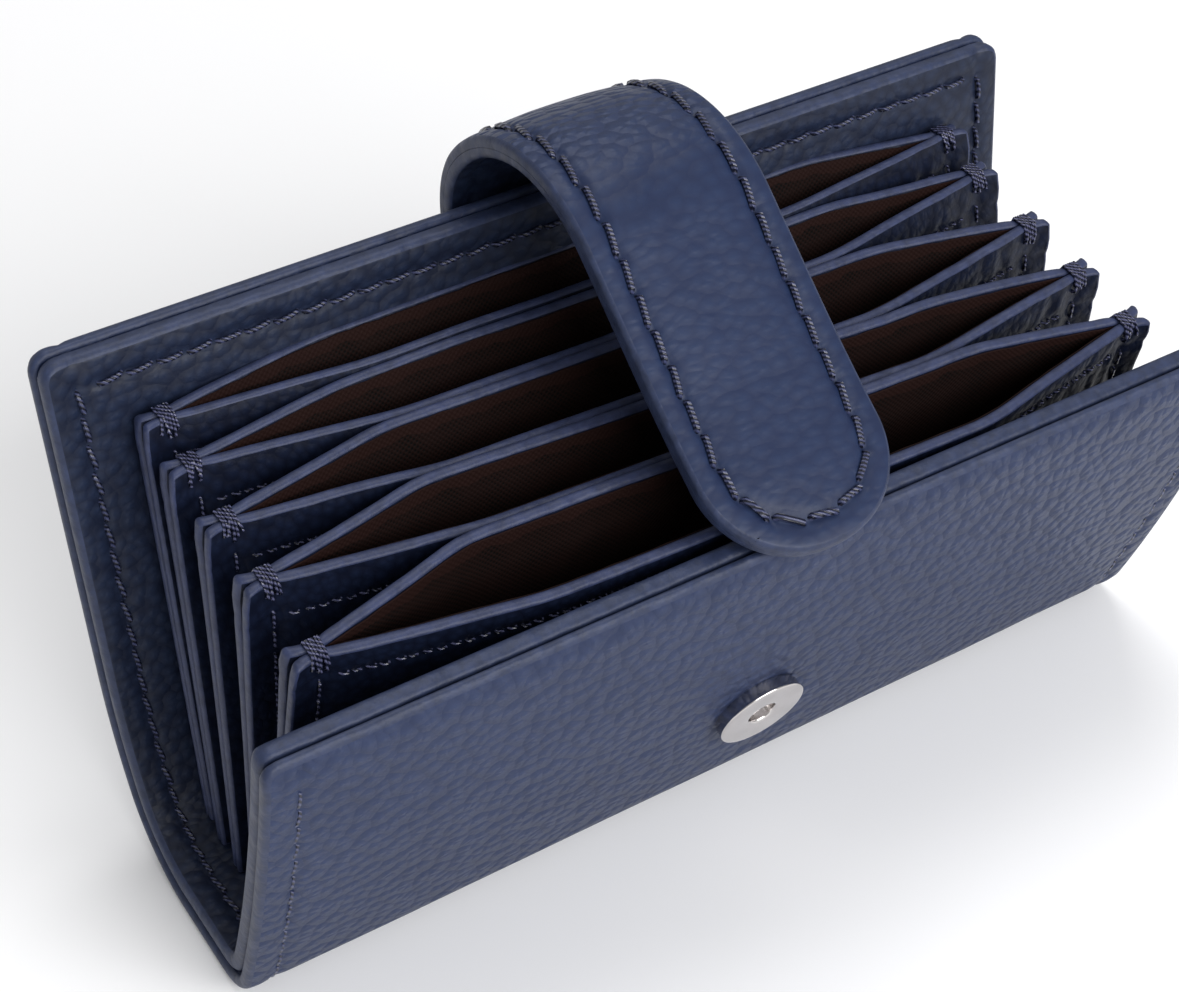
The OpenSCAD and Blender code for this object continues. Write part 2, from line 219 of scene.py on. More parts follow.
def pebbled_leather(name, light, dark, cell, stretch, angle, depth, rough, wear=0.3, crease=0.0, arch_grain_and_highlight=None,
                    shine=0.24):
    """Grained leather on a piece's own flat pattern; cell is the size of one pebble in metres. The stretch
    given for a strap's arch is where the grain is opened up and the colour made paler, partly as stretched
    leather pales and partly as a painted highlight on the arch's crest."""
    material, nodes, links, shader = new_material(name)
    uv = nodes.new("ShaderNodeUVMap")
    turn = nodes.new("ShaderNodeMapping")
    turn.vector_type = "TEXTURE"
    turn.inputs["Rotation"].default_value = (0, 0, math.radians(angle))
    turn.inputs["Scale"].default_value = (cell, cell * stretch, 1)
    links.new(uv.outputs[0], turn.inputs["Vector"])
    wander = add_node(nodes, "ShaderNodeTexNoise", Scale=0.7, Detail=1.0)
    links.new(turn.outputs[0], wander.inputs["Vector"])
    drift = nodes.new("ShaderNodeVectorMath")
    drift.operation = "MULTIPLY_ADD"
    drift.inputs[1].default_value = (0.35, 0.35, 0)
    links.new(wander.outputs["Color"], drift.inputs[0])
    links.new(turn.outputs[0], drift.inputs[2])
    place = drift.outputs[0]
    pebble = soft_cells(nodes, links, place, 1.0, 0.14)
    small = soft_cells(nodes, links, place, 2.3, 0.4)
    fine = add_node(nodes, "ShaderNodeTexNoise", Scale=6.0, Detail=2.0, Roughness=0.55)
    links.new(place, fine.inputs["Vector"])
    broad = add_node(nodes, "ShaderNodeTexNoise", Scale=0.14, Detail=3.0)
    links.new(turn.outputs[0], broad.inputs["Vector"])
    height = math_node(nodes, links, "MULTIPLY_ADD", small, 0.14, pebble)
    height = math_node(nodes, links, "MULTIPLY_ADD", fine.outputs[0], 0.05, height)
    relief = height
    if arch_grain_and_highlight:
        mask = along_mask(nodes, links, uv.outputs[0], *arch_grain_and_highlight)
        relief = math_node(nodes, links, "MULTIPLY", height,
                           math_node(nodes, links, "MULTIPLY_ADD", mask, 0.9, 0.1))
    normal = bump_node(nodes, links, relief, depth)
    if crease:
        lines = add_node(nodes, "ShaderNodeTexNoise", Scale=1.1, Detail=6.0, Roughness=0.6)
        lines.noise_type = "RIDGED_MULTIFRACTAL"
        links.new(place, lines.inputs["Vector"])
        normal = bump_node(nodes, links, lines.outputs[0], crease, 0.5, normal)
    links.new(normal, shader.inputs["Normal"])
    tone = ramp_node(nodes, links, height, 0.45, 1.05, (dark, light))
    shade = nodes.new("ShaderNodeMix")
    shade.data_type = "RGBA"
    shade.blend_type = "MULTIPLY"
    shade.inputs["Factor"].default_value = wear
    links.new(tone, shade.inputs[6])
    links.new(ramp_node(nodes, links, broad.outputs[0], 0.35, 0.65, ((0.55, 0.58, 0.66), (1.0, 1.0, 1.0))),
              shade.inputs[7])
    finished = shade.outputs[2]
    # Painted highlight: along the arch the colour is mixed towards a paler tone, partly as stretched
    # leather pales and partly standing in for the light on the strap's crest.
    if arch_grain_and_highlight:
        crest_highlight_mix = nodes.new("ShaderNodeMix")
        crest_highlight_mix.data_type = "RGBA"
        links.new(math_node(nodes, links, "MULTIPLY", mask, 0.55), crest_highlight_mix.inputs["Factor"])
        links.new(finished, crest_highlight_mix.inputs[6])
        crest_highlight_mix.inputs[7].default_value = (light[0] * 1.9, light[1] * 1.6, light[2] * 1.4, 1)
        finished = crest_highlight_mix.outputs[2]
    links.new(finished, shader.inputs["Base Color"])
    gloss = math_node(nodes, links, "MULTIPLY_ADD", fine.outputs[0], 0.16, rough - 0.08)
    links.new(gloss, shader.inputs["Roughness"])
    shader.inputs["Specular IOR Level"].default_value = shine
    return material


def painted_edge(name, colour):
    """The painted edge of cut leather, a little lumpy and rubbed."""
    material, nodes, links, shader = new_material(name)
    place = nodes.new("ShaderNodeTexCoord")
    mottle = add_node(nodes, "ShaderNodeTexNoise", Scale=700.0, Detail=4.0, Roughness=0.65)
    links.new(place.outputs["Object"], mottle.inputs["Vector"])
    lumps = add_node(nodes, "ShaderNodeTexNoise", Scale=260.0, Detail=2.0)
    links.new(place.outputs["Object"], lumps.inputs["Vector"])
    low = tuple(c * 0.72 for c in colour)
    high = tuple(c * 1.15 for c in colour)
    tone = ramp_node(nodes, links, mottle.outputs[0], 0.35, 0.65, (low, high))
    links.new(tone, shader.inputs["Base Color"])
    normal = bump_node(nodes, links, lumps.outputs[0], 0.5 * MM)
    normal = bump_node(nodes, links, mottle.outputs[0], 0.12 * MM, 1.0, normal)
    links.new(normal, shader.inputs["Normal"])
    shader.inputs["Roughness"].default_value = 0.5
    shader.inputs["Specular IOR Level"].default_value = 0.35
    return material


def woven_cloth(name, light, dark, thread):
    """Plain woven lining cloth on the sheet's own flat pattern; thread is the spacing of its yarns."""
    material, nodes, links, shader = new_material(name)
    uv = nodes.new("ShaderNodeUVMap")
    parts = nodes.new("ShaderNodeSeparateXYZ")
    links.new(uv.outputs[0], parts.inputs[0])
    turns = 2 * math.pi / thread
    warp = math_node(nodes, links, "SINE", math_node(nodes, links, "MULTIPLY", parts.outputs[0], turns))
    weft = math_node(nodes, links, "SINE", math_node(nodes, links, "MULTIPLY", parts.outputs[1], turns))
    weave = math_node(nodes, links, "MULTIPLY", warp, weft)
    level = math_node(nodes, links, "MULTIPLY_ADD", weave, 0.5, 0.5)
    slub = add_node(nodes, "ShaderNodeTexNoise", Scale=260.0, Detail=3.0)
    links.new(uv.outputs[0], slub.inputs["Vector"])
    mixed = math_node(nodes, links, "MULTIPLY_ADD", slub.outputs[0], 1.2, level)
    body = ramp_node(nodes, links, mixed, 0.7, 1.7, (dark, light))
    frayed = nodes.new("ShaderNodeMix")
    frayed.data_type = "RGBA"
    near_top = math_node(nodes, links, "MULTIPLY_ADD", slub.outputs[0], -2.2 * MM, parts.outputs[1])
    links.new(ramp_node(nodes, links, math_node(nodes, links, "MULTIPLY", near_top, 1000.0), -1.6, -0.6,
                        ((1, 1, 1), (0, 0, 0))), frayed.inputs["Factor"])
    links.new(body, frayed.inputs[6])
    frayed.inputs[7].default_value = (0.012, 0.0039, 0.0030, 1)
    links.new(frayed.outputs[2], shader.inputs["Base Color"])
    links.new(bump_node(nodes, links, level, 0.06 * MM), shader.inputs["Normal"])
    shader.inputs["Roughness"].default_value = 0.8
    shader.inputs["Specular IOR Level"].default_value = 0.12
    return material


def spun_thread(name, light, dark, rough):
    """Waxed sewing thread with a fine twist; the pale bands of the twist carry a painted glint and the
    dark bands painted shade between its plies.
    """
    material, nodes, links, shader = new_material(name)
    place = nodes.new("ShaderNodeTexCoord")
    twist = add_node(nodes, "ShaderNodeTexWave", Scale=900.0, Distortion=1.2)
    twist.bands_direction = "DIAGONAL"
    links.new(place.outputs["Object"], twist.inputs["Vector"])
    # Painted glint and shade: the twist runs from a dark colour in its grooves to a pale one on its
    # crowns.
    tone = ramp_node(nodes, links, twist.outputs["Fac"], 0.2, 0.9, (dark, light))
    links.new(tone, shader.inputs["Base Color"])
    links.new(bump_node(nodes, links, twist.outputs["Fac"], 0.08 * MM), shader.inputs["Normal"])
    shader.inputs["Roughness"].default_value = rough
    return material


def polished_metal(name, colour, rough, scratch):
    """Plated metal with fine wear."""
    material, nodes, links, shader = new_material(name)
    place = nodes.new("ShaderNodeTexCoord")
    wear = add_node(nodes, "ShaderNodeTexNoise", Scale=1400.0, Detail=4.0)
    links.new(place.outputs["Object"], wear.inputs["Vector"])
    patch = add_node(nodes, "ShaderNodeTexNoise", Scale=320.0, Detail=2.0)
    links.new(place.outputs["Object"], patch.inputs["Vector"])
    low = tuple(c * 0.88 for c in colour)
    tone = ramp_node(nodes, links, patch.outputs[0], 0.35, 0.65, (low, colour))
    links.new(tone, shader.inputs["Base Color"])
    gloss = math_node(nodes, links, "MULTIPLY_ADD", patch.outputs[0], 0.12, rough)
    links.new(gloss, shader.inputs["Roughness"])
    links.new(bump_node(nodes, links, wear.outputs[0], scratch), shader.inputs["Normal"])
    shader.inputs["Metallic"].default_value = 1.0
    return material


def stiff_board(name):
    """Fibrous board, hidden between the cover and the lining."""
    material, nodes, links, shader = new_material(name)
    place = nodes.new("ShaderNodeTexCoord")
    fibre = add_node(nodes, "ShaderNodeTexNoise", Scale=1500.0, Detail=5.0)
    links.new(place.outputs["Object"], fibre.inputs["Vector"])
    tone = ramp_node(nodes, links, fibre.outputs[0], 0.3, 0.7, ((0.28, 0.25, 0.21), (0.42, 0.38, 0.33)))
    links.new(tone, shader.inputs["Base Color"])
    shader.inputs["Roughness"].default_value = 0.9
    return material


COVER_LEATHER = pebbled_leather("cover leather", (0.0225, 0.0345, 0.083), (0.0165, 0.0260, 0.066),
                                1.4 * MM, 1.25, 150, 0.42 * MM, 0.46)
# Painted shade: the lining leather is about half as bright as the cover's, standing in for the shade on
# the holder's inner faces and under the strap.
SHADED_LINING_LEATHER = pebbled_leather("lining leather", (0.0125, 0.020, 0.046), (0.0075, 0.0115, 0.028),
                                 1.2 * MM, 1.15, 110, 0.11 * MM, 0.46, crease=0.07 * MM)
# Painted shade: the sleeves' navy leather is about a third as bright as the cover's, standing in for the
# shade inside the holder between the sleeves.
SHADED_SLEEVE_LEATHER = pebbled_leather("sleeve leather darkened as shade", (0.0065, 0.0105, 0.0275), (0.004, 0.006, 0.016),
                                 1.0 * MM, 1.3, 20, 0.09 * MM, 0.46, crease=0.05 * MM, shine=0.16)
# The strap's leather is paler along its arch: partly stretched leather, partly a painted highlight on the
# crest.
STRAP_LEATHER = pebbled_leather("strap leather", (0.0155, 0.027, 0.070), (0.0125, 0.021, 0.058),
                                1.15 * MM, 1.6, 90, 0.5 * MM, 0.44, crease=0.09 * MM,
                                arch_grain_and_highlight=(19 * MM, 28 * MM, 41 * MM, 54 * MM))
EDGE_PAINT = painted_edge("edge paint", (0.021, 0.031, 0.073))
SLEEVE_EDGE = painted_edge("sleeve edge paint", (0.025, 0.034, 0.083))
POCKET_CLOTH = woven_cloth("pocket cloth", (0.0075, 0.0024, 0.0018), (0.0009, 0.0005, 0.0005), 0.6 * MM)
# The threads' pale twist bands are lightened as a painted glint.
NAVY_THREAD = spun_thread("navy thread", (0.050, 0.058, 0.125), (0.003, 0.004, 0.012), 0.32)
# Painted glint: the hem stitches use the navy thread lightened, standing in for the glints on them.
GLINTING_HEM_THREAD = spun_thread("hem thread with painted glint", (0.090, 0.095, 0.180), (0.006, 0.008, 0.020), 0.22)
NICKEL = polished_metal("nickel plate", (0.66, 0.63, 0.62), 0.10, 0.003 * MM)
STEEL = polished_metal("plain steel", (0.55, 0.55, 0.57), 0.28, 0.01 * MM)
BOARD = stiff_board("stiffening board")


# ---- tools

def deselect():
    bpy.ops.object.select_all(action="DESELECT")


def points_of(piece):
    """The piece's vertices, one row each."""
    co = np.empty(len(piece.data.vertices) * 3)
    piece.data.vertices.foreach_get("co", co)
    return co.reshape(-1, 3)


def put_points(piece, co):
    """Move the piece's vertices to the rows of co."""
    piece.data.vertices.foreach_set("co", np.ascontiguousarray(co).ravel())
    piece.data.update()


def pick(piece):
    """Select only this piece and make it the active one."""
    deselect()
    piece.select_set(True)
    bpy.context.view_layer.objects.active = piece


def apply_modifier(piece, kind, **settings):
    """Add a modifier with its settings and apply it."""
    pick(piece)
    modifier = piece.modifiers.new(kind.title(), kind)
    for key, value in settings.items():
        setattr(modifier, key, value)
    bpy.ops.object.modifier_apply(modifier=modifier.name)


def face_outwards(piece):
    """Turn all faces outwards."""
    pick(piece)
    bpy.ops.object.mode_set(mode="EDIT")
    bpy.ops.mesh.select_all(action="SELECT")
    bpy.ops.mesh.normals_make_consistent(inside=False)
    bpy.ops.object.mode_set(mode="OBJECT")


def smooth(piece, angle=50):
    """Shade smooth, but for edges sharper than angle degrees."""
    pick(piece)
    bpy.ops.object.shade_smooth_by_angle(angle=math.radians(angle))


def round_corner(x, y, half, near, far, radius_near, radius_far):
    """Pull a rectangle's corners in to rounds; near and far are its ends along y."""
    for end, radius, way in ((near, radius_near, -1), (far, radius_far, 1)):
        if radius <= 0:
            continue
        u = (np.abs(x) - (half - radius)) / radius
        v = (y - (end - way * radius)) * way / radius
        inside = (u > 0) & (v > 0)
        size = np.sqrt(u * u + v * v)
        share = np.where(inside, np.maximum(u, v) / np.where(size > 0, size, 1), 1)
        x = np.where(inside, np.sign(x) * (half - radius + u * share * radius), x)
        y = np.where(inside, end - way * radius + way * v * share * radius, y)
    return x, y


def cut_sheet(name, xs, ys, thick, rim, materials, corners=(0, 0), segments=3):
    """A flat sheet cut to the lines xs and ys, with its thickness towards +Z and a rounded rim."""
    deselect()
    bpy.ops.mesh.primitive_grid_add(x_subdivisions=len(xs) - 1, y_subdivisions=len(ys) - 1, size=2)
    piece = bpy.context.active_object
    piece.name = name
    co = points_of(piece)
    column = np.rint((co[:, 0] + 1) / 2 * (len(xs) - 1)).astype(int)
    row = np.rint((co[:, 1] + 1) / 2 * (len(ys) - 1)).astype(int)
    x, y = np.asarray(xs)[column], np.asarray(ys)[row]
    x, y = round_corner(x, y, xs[-1], ys[0], ys[-1], *corners)
    put_points(piece, np.column_stack([x, y, np.zeros(len(x))]))
    loops = np.empty(len(piece.data.loops), int)
    piece.data.loops.foreach_get("vertex_index", loops)
    flat = np.column_stack([x, y])[loops]
    piece.data.uv_layers[0].data.foreach_set("uv", flat.ravel())
    for material in materials:
        piece.data.materials.append(material)
    edge_slot = len(materials) - 1
    apply_modifier(piece, "SOLIDIFY", thickness=thick, offset=1, material_offset_rim=edge_slot)
    if rim:
        apply_modifier(piece, "BEVEL", width=rim, segments=segments, limit_method="ANGLE",
                       angle_limit=math.radians(50), material=edge_slot)
    return piece


def shape(piece, change):
    """Move every vertex by change(x, y, z)."""
    co = points_of(piece)
    put_points(piece, np.column_stack(change(*co.T)))


def finish_piece(piece, body=None, angle=50):
    """Set a piece's faces and shading, and let it ride on a body if one is named."""
    face_outwards(piece)
    smooth(piece, angle)
    if body:
        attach(piece, body)
    return piece


def walk(legs, start, step=0.3 * MM):
    """Stations (length, y, z, heading) along legs of (length, turn), from a start (y, z, heading)."""
    y, z, heading = start
    stations = [(0.0, y, z, math.radians(heading))]
    travelled = 0.0
    for length, turn in legs:
        count = max(2, round(length / step))
        for _ in range(count):
            middle = math.radians(heading + turn / count / 2)
            y += math.cos(middle) * length / count
            z += math.sin(middle) * length / count
            heading += turn / count
            travelled += length / count
            stations.append((travelled, y, z, math.radians(heading)))
    return np.array(stations)


def on_path(path, s, depth):
    """The (y, z) of points at length s along a path and depth to the left of it."""
    held = np.clip(s, path[0, 0], path[-1, 0])
    y = np.interp(held, path[:, 0], path[:, 1])
    z = np.interp(held, path[:, 0], path[:, 2])
    heading = np.interp(held, path[:, 0], path[:, 3])
    over = s - held
    y = y + over * np.cos(heading) - depth * np.sin(heading)
    z = z + over * np.sin(heading) + depth * np.cos(heading)
    return y, z


def arc(radius, turn):
    """The length of an arc that turns by turn degrees."""
    return radius * math.radians(abs(turn))


def lines(low, high, step, finer=()):
    """Cut lines from low to high, step apart, and closer within reach of each (place, reach, step)."""
    wanted = set(np.round(np.linspace(low, high, max(2, round((high - low) / step) + 1)), 7))
    for place, reach, close in finer:
        near = {v for v in wanted if abs(v - place) < reach and low < v < high}
        wanted -= near
        for v in np.arange(place - reach, place + reach + close / 2, close):
            if low < v < high:
                wanted.add(round(float(v), 7))
    kept = []
    for v in sorted(wanted):
        if kept and v - kept[-1] < 0.12 * MM:
            continue
        kept.append(v)
    kept[0], kept[-1] = low, high
    return kept


def bell(distance, width):
    """1 at no distance, fading out over about twice the width."""
    return np.exp(-(distance / width) ** 2)


def ripple(x, y, seed, scale, terms=5):
    """A slow uneven wave between about -1 and 1, the same every run."""
    draw = random.Random(seed)
    total = np.zeros(np.broadcast(x, y).shape)
    for _ in range(terms):
        angle = draw.uniform(0, 2 * math.pi)
        rate = 2 * math.pi / (scale * draw.uniform(0.7, 1.6))
        phase = draw.uniform(0, 2 * math.pi)
        total = total + np.sin((x * math.cos(angle) + y * math.sin(angle)) * rate + phase)
    return total / terms


def threads(name, runs, thickness, material=NAVY_THREAD):
    """Short lengths of round thread, each through its own points."""
    curve = bpy.data.curves.new(name, "CURVE")
    curve.dimensions = "3D"
    curve.bevel_depth = thickness / 2
    curve.bevel_resolution = 1
    curve.use_fill_caps = True
    curve.materials.append(material)
    for points in runs:
        spline = curve.splines.new("POLY")
        spline.points.add(len(points) - 1)
        spline.points.foreach_set("co", [v for point in points for v in (*point, 1)])
    piece = bpy.data.objects.new(name, curve)
    bpy.context.scene.collection.objects.link(piece)
    pick(piece)
    bpy.ops.object.convert(target="MESH")
    return bpy.context.active_object


def stitch_points(x0, y0, x1, y1, sink=0.45 * MM, rise=0.2 * MM, slant=0.1 * MM):
    """One stitch in flat coordinates: down a hole, along the leather and down the next hole."""
    dx, dy = x1 - x0, y1 - y0
    length = math.hypot(dx, dy)
    ux, uy = dx / length, dy / length
    out = []
    for share, height, side in ((0.10, -sink, -1), (0.16, 0.3 * rise, -1), (0.36, rise, -0.4),
                                (0.64, rise, 0.4), (0.84, 0.3 * rise, 1), (0.90, -sink, 1)):
        along = share * length
        out.append((x0 + ux * along - uy * slant * side, y0 + uy * along + ux * slant * side, height))
    return out


# ---- cover and lining

COVER_LEGS = [
    (FRONT_LEN, FRONT_BOW),
    (arc(FOLD_R, FOLD_TURN), FOLD_TURN),
    (REST_W, 0),
    (arc(HEEL_R, HEEL_TURN), HEEL_TURN),
    (arc(SHIN_R, SHIN_TURN), SHIN_TURN),
    (BACK_LEN, 0),
]
COVER_PATH = walk(COVER_LEGS, (0, 0, FRONT_TOP_HEADING))
rest_middle = FRONT_LEN + arc(FOLD_R, FOLD_TURN) + REST_W / 2
COVER_PATH[:, 1] -= np.interp(rest_middle, COVER_PATH[:, 0], COVER_PATH[:, 1])
COVER_PATH[:, 2] -= np.interp(rest_middle, COVER_PATH[:, 0], COVER_PATH[:, 2])
COVER_RUN = COVER_PATH[-1, 0]
HALF = COVER_LEN / 2
COLUMN_X = HALF - STITCH_INSET
ROW_S = COVER_RUN - STITCH_INSET
SNAP_S = FRONT_LEN - 13.125 * MM

fine_x = [(v, FINE_REACH, FINE_GRID) for v in (-COLUMN_X, COLUMN_X)]
cover_xs = lines(-HALF, HALF, GRID, fine_x)
cover_ys = lines(0, COVER_RUN, GRID, [(ROW_S, FINE_REACH, FINE_GRID)])


def seam_dip(x, s):
    """How far the leather sinks along the cover's seams, deepest at the needle holes."""
    columns = bell(np.abs(x) - COLUMN_X, SEAM_SPREAD)
    phase = np.cos(2 * math.pi * (s - ROW_S) / STITCH_PITCH) * 0.5 + 0.5
    dip = columns * (SEAM_SINK + HOLE_SINK * phase ** 4 * bell(np.abs(x) - COLUMN_X, HOLE_SPREAD))
    dip = np.where(s < 1.5 * MM, 0, dip)
    row = bell(s - ROW_S, SEAM_SPREAD) * (np.abs(x) < COLUMN_X)
    phase = np.cos(2 * math.pi * x / STITCH_PITCH) * 0.5 + 0.5
    across = row * (SEAM_SINK + HOLE_SINK * phase ** 4 * bell(s - ROW_S, HOLE_SPREAD))
    return np.maximum(dip, across)


def rim_distance(x, s):
    """Distance in from the cover's cut edge."""
    return np.minimum(HALF - np.abs(x), np.minimum(s, COVER_RUN - s))


def shape_cover(x, s, z):
    """The cover is rolled over at its front edge and sits in a little round the snap."""
    outer = 1 - z / COVER_T
    rim = rim_distance(x, s)
    shoulder = 0.55 * MM * np.clip(1 - s / (3.2 * MM), 0, 1) ** 2
    side_roll = 0.22 * MM * np.clip(1 - rim / (1.8 * MM), 0, 1) ** 2
    snap = np.hypot(x, s - SNAP_S)
    seat = 0.22 * MM * bell(np.maximum(snap - 4.4 * MM, 0), 1.4 * MM)
    swell = 0.10 * MM * ripple(x, s, 3, 14 * MM) * np.clip(rim / (4 * MM), 0, 1)
    z = z + outer * (seam_dip(x, s) + shoulder + side_roll + seat - swell)
    y, height = on_path(COVER_PATH, s, z)
    return x, y, height


cover = cut_sheet("outer_cover", cover_xs, cover_ys, COVER_T, RIM_ROUND,
                  [COVER_LEATHER, EDGE_PAINT], corners=(1.6 * MM, 2.2 * MM))
shape(cover, shape_cover)
finish_piece(cover)
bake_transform(cover)
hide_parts("back_cover", "front_cover")


# The lining is cut this much smaller all round than the cover.
LINING_INSET = 0.25 * MM


def shape_lining(x, s, z):
    """The lining turns out to the cover at its rim and puffs up inside its seams."""
    inner = z / LINING_T
    rim = rim_distance(x, s) - LINING_INSET
    turned = 0.50 * MM * (1 - np.clip((rim - 1.5 * MM) / (3 * MM), 0, 1))
    roll = 0.28 * MM * np.clip(1 - rim / (2.0 * MM), 0, 1) ** 2
    puff = 0.22 * MM * bell(rim - 6.5 * MM, 2.2 * MM)
    swell = 0.16 * MM * ripple(x, s, 8, 11 * MM) * np.clip(rim / (4 * MM), 0, 1)
    z = z - inner * (seam_dip(x, s) + roll - puff - swell) - (1 - inner) * turned
    y, height = on_path(COVER_PATH, s, LINING_FROM + z)
    return x, y, height


lining_xs = lines(-HALF + LINING_INSET, HALF - LINING_INSET, GRID, fine_x)
lining_ys = lines(LINING_INSET, COVER_RUN - LINING_INSET, GRID, [(ROW_S, FINE_REACH, FINE_GRID)])
lining = cut_sheet("cover_lining", lining_xs, lining_ys, LINING_T, RIM_ROUND,
                   [SHADED_LINING_LEATHER, EDGE_PAINT], corners=(1.5 * MM, 2.0 * MM))
shape(lining, shape_lining)
finish_piece(lining)
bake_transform(lining)
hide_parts("back_lining", "front_lining")


# Where the side seams end at the front, and how far the outer ones lie in the sunk leather.
SEAM_END = 2.6 * MM
OUTER_SEAM_DEPTH = 0.44 * MM


def cover_stitches(name, depth, way, first):
    """Both side seams and the row along the back's top; way is -1 on the outside and 1 within,
    and first is where the side seams end at the front."""
    runs = []
    count = int((ROW_S - first) / STITCH_PITCH)
    row_count = int((COLUMN_X - 1.5 * MM) / STITCH_PITCH)
    draw = random.Random(name)
    flat = []
    for side in (-1, 1):
        for k in range(count):
            s1 = ROW_S - k * STITCH_PITCH
            flat.append((side * COLUMN_X, s1 - STITCH_PITCH, side * COLUMN_X, s1))
    for k in range(-row_count, row_count):
        flat.append((k * STITCH_PITCH, ROW_S, (k + 1) * STITCH_PITCH, ROW_S))
    for ends in flat:
        rise = draw.uniform(0.08, 0.2) * MM
        points = stitch_points(*ends, rise=rise, slant=draw.uniform(0.06, 0.2) * MM)
        x, s, up = np.array(points).T
        y, z = on_path(COVER_PATH, s, depth + way * up)
        runs.append(list(zip(x, y, z)))
    piece = threads(name, runs, THREAD_D)
    finish_piece(piece)
    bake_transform(piece)
    return piece


outer_seams = cover_stitches("outer_seams", OUTER_SEAM_DEPTH, -1, SEAM_END)
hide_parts("front_stitching")
inner_seams = cover_stitches("inner_seams", LINING_FROM + LINING_T, 1, SEAM_END)
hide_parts("back_stitching")


# ---- sleeves

# How far the walls' edges are rounded and stand clear of their neighbours, how much wider a sleeve is at
# its foot, and its stitches.
WALL_ROUND = 0.38 * MM
WALL_CLEARANCE = 0.06 * MM
SLEEVE_SPLAY = 0.035
HEM_START = 0.8 * MM
TACK_START = 0.1 * MM
TACK_STEP = 0.27 * MM
TACK_COUNT = 6
SIDE_STITCH = 2.6 * MM


def sleeve_depth(i):
    """A sleeve's height, a little less than that of the one behind it."""
    return SLEEVE_DEPTH - i * SLEEVE_STEP


def sleeve_lean(i):
    """The angle by which a sleeve leans back, from its foot to its place at the top."""
    return math.asin((FIRST_TOP - i * SLEEVE_PITCH - FEET[i][0]) / sleeve_depth(i))


def rise_of(z, i):
    """0 at a sleeve's foot and 1 at its top."""
    return np.clip(z / sleeve_depth(i), 0, 1)


def wall_thickness(z, i):
    """Walls are thicker towards their turned tops."""
    return WALL_T * (1 + 0.5 * rise_of(z, i) ** 0.8)


def seam_y(x, i):
    """Where the sleeve's end seams put its middle, in from its straight middle plane."""
    middle = FIRST_TOP - i * SLEEVE_PITCH
    turn = np.clip(x / (2 * SEAM_X) + 0.5, 0, 1)
    return (LEFT_SEAM[i] + (RIGHT_SEAM[i] - LEFT_SEAM[i]) * turn) * MM - middle


def meeting_y(x, k):
    """Where walls meet their neighbours at the top, for meeting place k."""
    along = np.array([-29, -4, 4, 23]) * MM
    places = [MEETING_LEFT[k], MEETING_MIDDLE[k], MEETING_MIDDLE[k], MEETING_RIGHT[k]]
    return np.interp(x, along, places) * MM


def middle_line(x, z, i):
    """The sleeve's own middle, which runs between its end seams."""
    return seam_y(x, i) * rise_of(z, i)


def openness(x, side):
    """0 at the end seams and 1 where the wall lies against its neighbour, straight in between."""
    run = BOW_RUN * (1 if side == BACK else 1.2)
    u = np.clip((SEAM_X - np.abs(x)) / run, 0, 1.15)
    return u - np.maximum(u - 0.85, 0) ** 2 / 0.6


def raised(x, z, i, side):
    """Neighbouring walls stand at one height where they touch: backs rise a little and fronts drop."""
    change = BACK_RISE[i] if side == BACK else -FRONT_DROP[i]
    wave = 0.18 * MM * ripple(x, 0.2 * z, 70 + i * 2 + side, 17 * MM)
    return z + (change * MM * openness(x, side) + wave) * rise_of(z, i) ** 2


def half_open(x, z, i, side):
    """How far a wall's inner face stands from the sleeve's middle line."""
    middle = FIRST_TOP - i * SLEEVE_PITCH
    k = i if side == BACK else i + 1
    reach = side * (meeting_y(x, k) - middle - seam_y(x, i)) - WALL_CLEARANCE - wall_thickness(z, i)
    return np.maximum(reach, 0) * openness(x, side) * rise_of(z, i)


def stand(i, x, y, z):
    """Put a sleeve's own coordinates in their place: y across its thickness and z up from its foot."""
    lean = sleeve_lean(i)
    foot_y, foot_z = FEET[i][0], FEET[i][1]
    cosine, sine = math.cos(lean), math.sin(lean)
    return x, foot_y + y * cosine + z * sine, foot_z - y * sine + z * cosine


def splay(x, z, i):
    """The sleeve is a little wider towards its foot."""
    return x * (1 + SLEEVE_SPLAY * (1 - z / sleeve_depth(i)))


HEM_DROP = [4.0 * MM, 4.2 * MM, 4.3 * MM, 4.4 * MM, 3.1 * MM]
HEM_PITCH = 1.3 * MM
CLOTH_TOP = 0.3 * MM
CLOTH_FOOT = 4 * MM
CLOTH_T = 0.16 * MM
CLOTH_HALF = SEAM_X - 0.4 * MM


def wall_ripple(x, z, i, side):
    """Uneven slack in a wall, only ever inward from its bow."""
    slack = 0.5 + 0.5 * ripple(x, z * 0.4, 40 + 2 * i + side, 26 * MM)
    inside = np.clip((SEAM_X - np.abs(x)) / (12 * MM), 0, 1)
    return 0.2 * MM * slack * inside * np.clip(z / (20 * MM), 0, 1)


def wall_inner(x, z, i, side):
    """How far a wall's inner face is from the sleeve's middle; outer corners stand apart."""
    opening = half_open(x, z, i, side) - wall_ripple(x, z, i, side)
    gape = 0.55 * MM * np.clip((np.abs(x) - SEAM_X - 1.8 * MM) / (1.7 * MM), 0, 1) ** 1.5
    gape = gape * np.clip(z / sleeve_depth(i), 0, 1) ** 6
    return np.maximum(opening, 0) + TOUCH + gape


